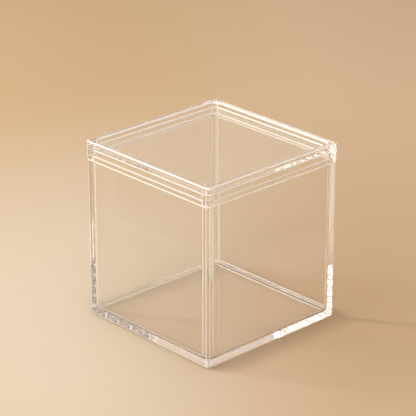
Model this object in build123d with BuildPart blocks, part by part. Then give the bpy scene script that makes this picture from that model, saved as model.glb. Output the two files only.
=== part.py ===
# Clear acrylic storage box: a square tub closed by a lid that lifts straight off.
# Lengths are in millimetres. The origin is under the middle of the base and Z is up.
import os

from build123d import *

# Driving sizes of the closed box
overall_height = 107.0
lid_width = 100.0
lid_height = 11.0
lid_overhang = 0.25

# Vertical corners that both mouldings share
outer_corner_radius = 2.2
inner_corner_radius = 3.5

# Tub
wall_thickness = 2.8
floor_thickness = 3.5
base_edge_radius = 1.8
floor_cove_radius = 3.0
shoulder_edge_radius = 0.35

# Lap joint: a tongue on the tub's rim stands inside a lip on the lid's skirt
lap_height = 2.9
tongue_thickness = 1.3
tongue_clearance = 0.15
tongue_headroom = 0.3
tongue_edge_radius = 0.55
seam_gap = 0.1

# Lid
rim_width = 3.6
recess_depth = 3.2
panel_thickness = 1.6
rim_outer_edge_radius = 0.6
rim_inner_edge_radius = 1.0
recess_cove_radius = 0.5
hollow_cove_radius = 0.6
skirt_edge_radius = 0.6

# How far a cutting block runs past the surface that it opens
cut_overrun = 5.0

# Levels above the ground
seam_level = overall_height - lid_height
shoulder_level = seam_level - seam_gap
ledge_level = seam_level + lap_height
tongue_top = ledge_level - tongue_headroom
panel_top = overall_height - recess_depth
panel_underside = panel_top - panel_thickness

# Widths across the flats
tub_width = lid_width - 2 * lid_overhang
inner_width = tub_width - 2 * wall_thickness
tongue_width = inner_width + 2 * tongue_thickness
lip_width = tongue_width + 2 * tongue_clearance
recess_width = lid_width - 2 * rim_width

# Corner radii of the tongue and of the lip round it, which run parallel
tongue_corner_radius = inner_corner_radius + tongue_thickness
lip_corner_radius = tongue_corner_radius + tongue_clearance

os.makedirs("parts", exist_ok=True)


# Tub: an open-topped moulding with a rebated rim
with BuildPart() as tub:
    with BuildSketch():
        RectangleRounded(tub_width, tub_width, outer_corner_radius)
    extrude(amount=tongue_top)

    # Cavity
    with BuildSketch(Plane.XY.offset(floor_thickness)):
        RectangleRounded(inner_width, inner_width, inner_corner_radius)
    extrude(amount=tongue_top, mode=Mode.SUBTRACT)

    # Rebate that leaves the tongue standing inside a flat shoulder
    with BuildSketch(Plane.XY.offset(shoulder_level)):
        Rectangle(tub_width + cut_overrun, tub_width + cut_overrun)
        RectangleRounded(tongue_width, tongue_width, tongue_corner_radius, mode=Mode.SUBTRACT)
    extrude(amount=lap_height + cut_overrun, mode=Mode.SUBTRACT)

    # Rounded edges and coves, from the ground up
    tub_levels = tub.faces().filter_by(Plane.XY).group_by(Axis.Z)
    base_face = tub_levels[0][0]
    cavity_floor = tub_levels[1][0]
    shoulder_face = tub_levels[2][0]
    tongue_face = tub_levels[3][0]
    fillet(base_face.edges(), base_edge_radius)
    fillet(cavity_floor.edges(), floor_cove_radius)
    fillet(shoulder_face.outer_wire().edges(), shoulder_edge_radius)
    fillet(tongue_face.edges(), tongue_edge_radius)

tub.part.label = "tub"
export_step(tub.part, "parts/tub.step")


# Lid: a panel sunk inside a raised rim, with a skirt that laps the tongue
with BuildPart() as lid:
    with BuildSketch(Plane.XY.offset(seam_level)):
        RectangleRounded(lid_width, lid_width, outer_corner_radius)
    extrude(amount=lid_height)

    # Recess that leaves the rim standing round the panel
    with BuildSketch(Plane.XY.offset(panel_top)):
        RectangleRounded(recess_width, recess_width, inner_corner_radius)
    extrude(amount=recess_depth + cut_overrun, mode=Mode.SUBTRACT)

    # Hollow under the panel, as wide as the tub's cavity
    with BuildSketch(Plane.XY.offset(panel_underside)):
        RectangleRounded(inner_width, inner_width, inner_corner_radius)
    extrude(amount=-lid_height, mode=Mode.SUBTRACT)

    # Rebate that leaves the lip standing round the tongue
    with BuildSketch(Plane.XY.offset(ledge_level)):
        RectangleRounded(lip_width, lip_width, lip_corner_radius)
    extrude(amount=-lap_height - cut_overrun, mode=Mode.SUBTRACT)

    # Rounded edges and coves, from the skirt up
    lid_levels = lid.faces().filter_by(Plane.XY).group_by(Axis.Z)
    lip_face = lid_levels[0][0]
    hollow_ceiling = lid_levels[2][0]
    panel_face = lid_levels[3][0]
    rim_face = lid_levels[4][0]
    fillet(lip_face.outer_wire().edges(), skirt_edge_radius)
    fillet(hollow_ceiling.edges(), hollow_cove_radius)
    fillet(panel_face.edges(), recess_cove_radius)
    fillet(rim_face.outer_wire().edges(), rim_outer_edge_radius)
    fillet(rim_face.inner_wires()[0].edges(), rim_inner_edge_radius)

lid.part.label = "lid"
export_step(lid.part, "parts/lid.step")
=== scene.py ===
# Clear acrylic storage box with lid: materials, floor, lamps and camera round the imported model.
# Lengths are in metres. The box stands on z = 0 with its middle over the origin.
import math

import bpy
from mathutils import Euler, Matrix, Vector

# Camera: as far, as high and as long a lens as the photo's
CAMERA_PLACE = (0.79972, -0.75539, 0.53060)
CAMERA_TILT = 67.13
CAMERA_TURN = 46.741
CAMERA_LENS = 182.61
CAMERA_SENSOR = 36.0

# The way across the camera's view, from its left to its right
RIGHTWARD = (0.685, 0.728, 0.0)

# In every pair that is named a range, the first number is where a change starts and the second where it ends

# Acrylic
ACRYLIC_IOR = 1.49
ACRYLIC_TINT = (0.985, 0.985, 0.98, 1.0)
LIGHT_THROUGH_FACE = (0.955, 0.93, 0.90, 1.0)
LIGHT_PAST_BASE_AND_CORNERS = (0.3, 0.22, 0.15, 1.0)

# Flow waves, which fade out up the walls
WAVE_DEPTH = 0.0004
WAVE_STRENGTH = 0.0025
WAVE_HEIGHT_RANGE = (0.0, 0.045)

# Roughness of the rubs, of the base and of the lid, with the heights over which wear sets in
RUB_ROUGHNESS = 0.02
RUB_RANGE = (0.35, 0.8)
BASE_WEAR = 0.035
BASE_HEIGHT_RANGE = (0.0085, 0.00425)
LID_WEAR = 0.045
LID_HEIGHT_RANGE = (0.0950, 0.0956)

# Haze on the rounded edges, by the largest part of the normal, which is 1 on a flat face
EDGE_CLEARNESS = 0.2
HAZE_RANGE = (0.998, 0.97)
ROUNDING_MIDDLE_RANGE = (0.94, 0.92)
ROUNDING_MIDDLE_LIFT = 0.3

# Upright faces, by the Z part of the normal, and rounded corners, by the larger of its X and Y parts
UPRIGHT_RANGE = (0.12, 0.02)
CORNER_RANGE = (0.99, 0.93)

# Floor, with painted light on the camera's left of the box and painted shade on its right, fading into more
# even tones away from the box
FLOOR_DROP = 0.0003
FLOOR_RADIUS = 4.0
FLOOR_SIDES = 96
FLOOR_PAINTED_LIGHT_LEFT = (0.73, 0.60, 0.46, 1.0)
FLOOR_PAINTED_SHADE_RIGHT = (0.59, 0.41, 0.255, 1.0)
FLOOR_FAR_LEFT = (0.63, 0.43, 0.245, 1.0)
FLOOR_FAR_RIGHT = (0.69, 0.49, 0.315, 1.0)
FLOOR_ACROSS_RANGE = (-0.10, 0.10)
FLOOR_FAR_RANGE = (0.08, 0.42)

# World
BACKDROP_LEFT = (0.80, 0.65, 0.52, 1.0)
BACKDROP_RIGHT = (0.28, 0.235, 0.21, 1.0)
BACKDROP_RANGE = (0.1, 0.6)
AMBIENT = (0.29, 0.275, 0.26, 1.0)

# Lamps: name, place, size, power and colour. A large soft box stands on the camera's left, with a small low
# one that throws the shadow further round. A middling one stands on the right and a weak one hangs overhead
LAMPS = (
    ("left_box", (-0.57, -1.21, 0.66), 2.1, 20.0, (1.0, 0.99, 0.97)),
    ("low_box", (-1.24, -0.775, 0.701), 0.2, 14.0, (1.0, 0.98, 0.95)),
    ("right_box", (1.33, -0.63, 0.63), 1.0, 11.0, (1.0, 0.96, 0.92)),
    ("top_box", (-0.1, 0.1, 1.6), 0.8, 5.0, (1.0, 0.98, 0.95)),
)
LAMP_TARGET = (0, 0, 0.05)

# Bounces enough for light that runs along the walls
WALL_BOUNCES = 160
CLEAR_FACES = 64

# Socket numbers of a colour Mix node, whose socket names repeat
MIX_FACTOR, MIX_FIRST, MIX_SECOND, MIX_RESULT = 0, 6, 7, 2

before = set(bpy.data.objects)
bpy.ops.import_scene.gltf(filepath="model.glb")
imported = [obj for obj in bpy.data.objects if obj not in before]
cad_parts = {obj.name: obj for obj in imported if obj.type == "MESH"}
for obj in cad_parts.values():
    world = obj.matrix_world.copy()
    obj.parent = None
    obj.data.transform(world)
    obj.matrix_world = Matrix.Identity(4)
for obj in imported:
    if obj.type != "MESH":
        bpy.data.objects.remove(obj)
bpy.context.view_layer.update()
scene = bpy.context.scene


def emptied(owner):
    """The node tree of a material or world, with no nodes."""
    owner.use_nodes = True
    owner.node_tree.nodes.clear()
    return owner.node_tree


def feed(tree, socket, value):
    """Links a socket to an output, or sets it to a plain value."""
    if isinstance(value, bpy.types.NodeSocket):
        tree.links.new(value, socket)
    else:
        socket.default_value = value


def node(tree, kind, **values):
    """A new node; each value feeds the socket of its name, with _ for a space."""
    made = tree.nodes.new(kind)
    for name, value in values.items():
        feed(tree, made.inputs[name.replace("_", " ")], value)
    return made


def ordered(tree, kind, *values, operation=None):
    """A new node whose sockets take the values in their order."""
    made = tree.nodes.new(kind)
    if operation:
        made.operation = operation
    for socket, value in zip(made.inputs, values):
        feed(tree, socket, value)
    return made


def maths(tree, operation, *values):
    """The result of an operation on numbers."""
    return ordered(tree, "ShaderNodeMath", *values, operation=operation).outputs["Value"]


def vector_maths(tree, operation, *values):
    """A node with the result of an operation on vectors."""
    return ordered(tree, "ShaderNodeVectorMath", *values, operation=operation)


def ramp(tree, value, ends, low=0.0, high=1.0, smooth=False):
    """A number that goes from low to high while the value goes from one end to the other."""
    start, end = ends
    made = node(
        tree, "ShaderNodeMapRange", Value=value, From_Min=start, From_Max=end, To_Min=low, To_Max=high
    )
    if smooth:
        made.interpolation_type = "SMOOTHSTEP"
    return made.outputs["Result"]


def blend(tree, factor, first, second):
    """A colour that goes from the first to the second while the factor goes from 0 to 1."""
    made = tree.nodes.new("ShaderNodeMix")
    made.data_type = "RGBA"
    feed(tree, made.inputs[MIX_FACTOR], factor)
    feed(tree, made.inputs[MIX_FIRST], first)
    feed(tree, made.inputs[MIX_SECOND], second)
    return made.outputs[MIX_RESULT]


def choose(tree, factor, first, second):
    """The first shader where the factor is 0 and the second where it is 1."""
    return ordered(tree, "ShaderNodeMixShader", factor, first, second).outputs["Shader"]


def acrylic():
    """Clear moulded acrylic: faint flow waves under the surface gloss, and light let through to the floor."""
    material = bpy.data.materials.new("clear_acrylic_look")
    tree = emptied(material)
    place = node(tree, "ShaderNodeTexCoord")
    height = node(tree, "ShaderNodeSeparateXYZ", Vector=place.outputs["Object"]).outputs["Z"]

    waves = node(
        tree, "ShaderNodeTexNoise", Vector=place.outputs["Object"], Scale=55.0, Detail=1.5, Roughness=0.45
    )
    bump = node(
        tree,
        "ShaderNodeBump",
        Distance=WAVE_DEPTH,
        Height=waves.outputs["Fac"],
        Strength=ramp(tree, height, WAVE_HEIGHT_RANGE, WAVE_STRENGTH, 0.0),
    )

    # The lid, the rim that it rubs on and the base are a little more worn than the walls
    rubs = node(
        tree, "ShaderNodeTexNoise", Vector=place.outputs["Object"], Scale=420.0, Detail=3.0, Roughness=0.6
    )
    polish = ramp(tree, rubs.outputs["Fac"], RUB_RANGE, 0.0, RUB_ROUGHNESS)
    lid_wear = ramp(tree, height, LID_HEIGHT_RANGE, 0.0, LID_WEAR)
    base_wear = ramp(tree, height, BASE_HEIGHT_RANGE, 0.0, BASE_WEAR)
    roughness = maths(tree, "ADD", polish, maths(tree, "ADD", lid_wear, base_wear))

    # Rounded edges, whose normals lie between the flat faces', carry a faint haze that catches light
    size = vector_maths(tree, "ABSOLUTE", place.outputs["Normal"])
    parts = node(tree, "ShaderNodeSeparateXYZ", Vector=size.outputs["Vector"])
    side = maths(tree, "MAXIMUM", parts.outputs["X"], parts.outputs["Y"])
    largest = maths(tree, "MAXIMUM", side, parts.outputs["Z"])
    # The wide roundings, down the corners and along the base, are clear but for a line at each end
    low = ramp(tree, height, BASE_HEIGHT_RANGE)
    upright = ramp(tree, parts.outputs["Z"], UPRIGHT_RANGE)
    wide = maths(tree, "MAXIMUM", low, upright)
    middle = ramp(tree, largest, ROUNDING_MIDDLE_RANGE, 0.0, ROUNDING_MIDDLE_LIFT)
    flatness = maths(tree, "MULTIPLY_ADD", wide, middle, largest)
    clearness = ramp(tree, flatness, HAZE_RANGE, 1.0, EDGE_CLEARNESS, smooth=True)

    body = node(
        tree,
        "ShaderNodeBsdfPrincipled",
        Base_Color=ACRYLIC_TINT,
        IOR=ACRYLIC_IOR,
        Roughness=roughness,
        Normal=bump.outputs["Normal"],
        Transmission_Weight=clearness,
    )

    # Lamps and bounced light pass straight through each face, a little dimmed, but the base guides
    # much of the light that meets its sides away along the slab, and the rounded corners bend it aside
    guided = maths(tree, "MULTIPLY", low, side)
    bent = maths(tree, "MULTIPLY", ramp(tree, side, CORNER_RANGE), upright)
    turned = maths(tree, "MAXIMUM", guided, bent)
    let_through = blend(tree, turned, LIGHT_THROUGH_FACE, LIGHT_PAST_BASE_AND_CORNERS)
    passed = node(tree, "ShaderNodeBsdfTransparent", Color=let_through).outputs["BSDF"]
    path = node(tree, "ShaderNodeLightPath")
    lamps = choose(tree, path.outputs["Is Shadow Ray"], body.outputs["BSDF"], passed)
    bounced = choose(tree, path.outputs["Is Diffuse Ray"], lamps, passed)
    node(tree, "ShaderNodeOutputMaterial", Surface=bounced)
    return material


def floor_material():
    """Plain pale plaster with painted light on the camera's left of the box and painted shade on its right,
    turning to more even tones away from the box.
    """
    material = bpy.data.materials.new("floor")
    tree = emptied(material)
    place = node(tree, "ShaderNodeTexCoord").outputs["Object"]
    across = vector_maths(tree, "DOT_PRODUCT", place, RIGHTWARD).outputs["Value"]
    distance = vector_maths(tree, "LENGTH", place).outputs["Value"]
    # Painted light on the camera's left and painted shade on its right, strongest near the box
    turn = ramp(tree, across, FLOOR_ACROSS_RANGE, smooth=True)
    painted_light_near = blend(tree, turn, FLOOR_PAINTED_LIGHT_LEFT, FLOOR_PAINTED_SHADE_RIGHT)
    far = blend(tree, turn, FLOOR_FAR_LEFT, FLOOR_FAR_RIGHT)
    colour = blend(tree, ramp(tree, distance, FLOOR_FAR_RANGE, smooth=True), painted_light_near, far)
    body = node(tree, "ShaderNodeBsdfPrincipled", Base_Color=colour, Roughness=0.9, Specular_IOR_Level=0.1)
    node(tree, "ShaderNodeOutputMaterial", Surface=body.outputs["BSDF"])
    return material


def make_world():
    """Soft light all round, and a backdrop where the camera, a gloss or the acrylic looks past the floor."""
    world = bpy.data.worlds.new("studio")
    scene.world = world
    tree = emptied(world)
    path = node(tree, "ShaderNodeLightPath")
    mirrored = maths(tree, "MAXIMUM", path.outputs["Is Camera Ray"], path.outputs["Is Glossy Ray"])
    seen = maths(tree, "MAXIMUM", mirrored, path.outputs["Is Transmission Ray"])
    direction = node(tree, "ShaderNodeTexCoord").outputs["Generated"]
    across = vector_maths(tree, "DOT_PRODUCT", direction, RIGHTWARD).outputs["Value"]
    wall = blend(tree, ramp(tree, across, BACKDROP_RANGE), BACKDROP_LEFT, BACKDROP_RIGHT)
    ambient = node(tree, "ShaderNodeBackground", Color=AMBIENT, Strength=1.0)
    backdrop = node(tree, "ShaderNodeBackground", Color=wall, Strength=1.0)
    light = choose(tree, seen, ambient.outputs["Background"], backdrop.outputs["Background"])
    node(tree, "ShaderNodeOutputWorld", Surface=light)


def soft_box(name, place, size, power, colour):
    """A square studio lamp aimed at the box."""
    data = bpy.data.lights.new(name, "AREA")
    data.size = size
    data.energy = power
    data.color = colour
    lamp = bpy.data.objects.new(name, data)
    scene.collection.objects.link(lamp)
    lamp.location = place
    lamp.rotation_euler = (Vector(LAMP_TARGET) - Vector(place)).to_track_quat("-Z", "Y").to_euler()
    lamp.visible_camera = False


# Object
clear = acrylic()
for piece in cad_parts.values():
    piece.data.materials[0] = clear

# Floor
bpy.ops.mesh.primitive_circle_add(
    vertices=FLOOR_SIDES, radius=FLOOR_RADIUS, fill_type="NGON", location=(0, 0, -FLOOR_DROP)
)
floor = bpy.context.object
floor.name = "floor"
floor.data.materials.append(floor_material())

# Light
make_world()
for lamp_values in LAMPS:
    soft_box(*lamp_values)

# Camera
camera_data = bpy.data.cameras.new("camera")
camera_data.lens = CAMERA_LENS
camera_data.sensor_width = CAMERA_SENSOR
camera = bpy.data.objects.new("camera", camera_data)
scene.collection.objects.link(camera)
camera.location = CAMERA_PLACE
camera.rotation_euler = Euler((math.radians(CAMERA_TILT), 0, math.radians(CAMERA_TURN)))
scene.camera = camera

# Render
scene.cycles.max_bounces = WALL_BOUNCES
scene.cycles.transmission_bounces = WALL_BOUNCES
scene.cycles.glossy_bounces = WALL_BOUNCES
scene.cycles.transparent_max_bounces = CLEAR_FACES
scene.view_settings.view_transform = "Standard"
